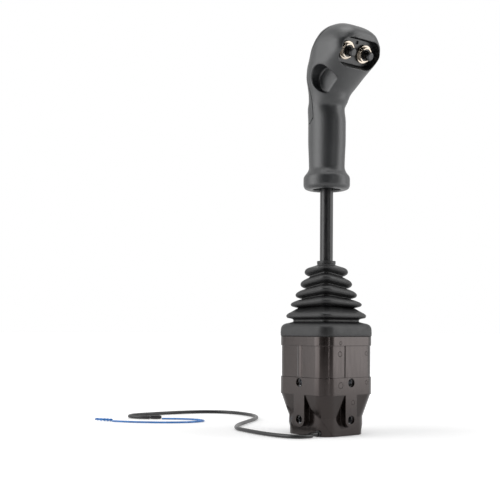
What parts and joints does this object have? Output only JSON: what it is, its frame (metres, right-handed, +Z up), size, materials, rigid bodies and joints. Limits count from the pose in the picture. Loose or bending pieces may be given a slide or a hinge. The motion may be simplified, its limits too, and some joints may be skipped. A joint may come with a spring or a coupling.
{
  "type": "industrial joystick",
  "caption": "Two-axis push-pull cable joystick: square moulded base, rubber gaiter, steel lever and a pistol grip with two push buttons and a trailing cord.",
  "frame": {"origin": "centre of the underside of the base, on the lever's axis", "axes": "+Z up along the lever at rest, +X the way the grip's button window faces"},
  "size_m": [0.3189, 0.1773, 0.4034],
  "materials": {
    "housing": "glossy moulded black, glass filled",
    "grip": "fine spark-eroded texture",
    "panel": "satin",
    "gaiter": "matt moulded rubber",
    "chrome": "bright plated",
    "steel": "zinc plated",
    "bronze": "sintered bronze",
    "button": "satin black",
    "sleeve": "smooth black shrink sleeve",
    "cord": "smooth black",
    "lead": "smooth blue insulation"
  },
  "bodies": {
    "base": {"lower_housing": "housing", "upper_housing": "housing", "cable_plate": "panel", "plate_screws": "steel", "housing_screws": "steel", "thread_inserts": "bronze", "mount_inserts": "steel", "pivot_bracket": "steel", "bracket_bushes": "bronze", "rod_bushes": "bronze", "gaiter": "gaiter", "spring_x_upper": "steel", "spring_x_lower": "steel", "spring_y_upper": "steel", "spring_y_lower": "steel", "cord_grommet": "gaiter", "cord_sleeve": "cord", "heat_shrink": "cord", "lead_left": "lead", "lead_right": "lead", "lead_splice": "lead"},
    "cradle": {"pivot_cross": "steel"},
    "lever": {"lever_fork": "steel", "fork_bushes": "bronze", "drive_pins": "steel", "lever_tube": "steel", "tube_pin": "steel", "rod_sleeve": "sleeve", "jam_nut": "steel", "grip_shell": "grip", "rear_cover": "grip", "cover_screws": "steel", "button_panel": "panel", "panel_screw": "steel", "button_nuts": "chrome", "bushing_left": "chrome", "bushing_right": "chrome", "switch_left": "button", "switch_right": "button"},
    "rod_x": {"push_rod_x": "steel"},
    "rod_y": {"push_rod_y": "steel"},
    "button_left": {"plunger_left": "button"},
    "button_right": {"plunger_right": "button"}
  },
  "joints": [
    {"name": "tilt_side", "type": "hinge", "parent": "base", "child": "cradle", "pos_m": [0, 0, 0.072], "axis": [1, 0, 0], "range_deg": [-20, 20], "stiffness_Nm_per_rad": 6},
    {"name": "tilt_front", "type": "hinge", "parent": "cradle", "child": "lever", "pos_m": [0, 0, 0.072], "axis": [0, 1, 0], "range_deg": [-20, 20], "stiffness_Nm_per_rad": 6, "deforming": ["gaiter"]},
    {"name": "rod_x_slide", "type": "slide", "parent": "base", "child": "rod_x", "axis": [0, 0, 1], "range_m": [-0.0072, 0.0072], "stiffness_N_per_m": 2500, "deforming": ["spring_x_upper", "spring_x_lower"]},
    {"name": "rod_y_slide", "type": "slide", "parent": "base", "child": "rod_y", "axis": [0, 0, 1], "range_m": [-0.0072, 0.0072], "stiffness_N_per_m": 2500, "deforming": ["spring_y_upper", "spring_y_lower"]},
    {"name": "press_left", "type": "slide", "parent": "lever", "child": "button_left", "axis": [-0.8988, 0, 0.4384], "range_m": [0, 0.0025], "stiffness_N_per_m": 900},
    {"name": "press_right", "type": "slide", "parent": "lever", "child": "button_right", "axis": [-0.8988, 0, 0.4384], "range_m": [0, 0.0025], "stiffness_N_per_m": 900}
  ],
  "couplings": [
    {"joint": "rod_x_slide", "follows": "tilt_front", "m_per_rad": -0.02},
    {"joint": "rod_y_slide", "follows": "tilt_side", "m_per_rad": -0.02}
  ]
}
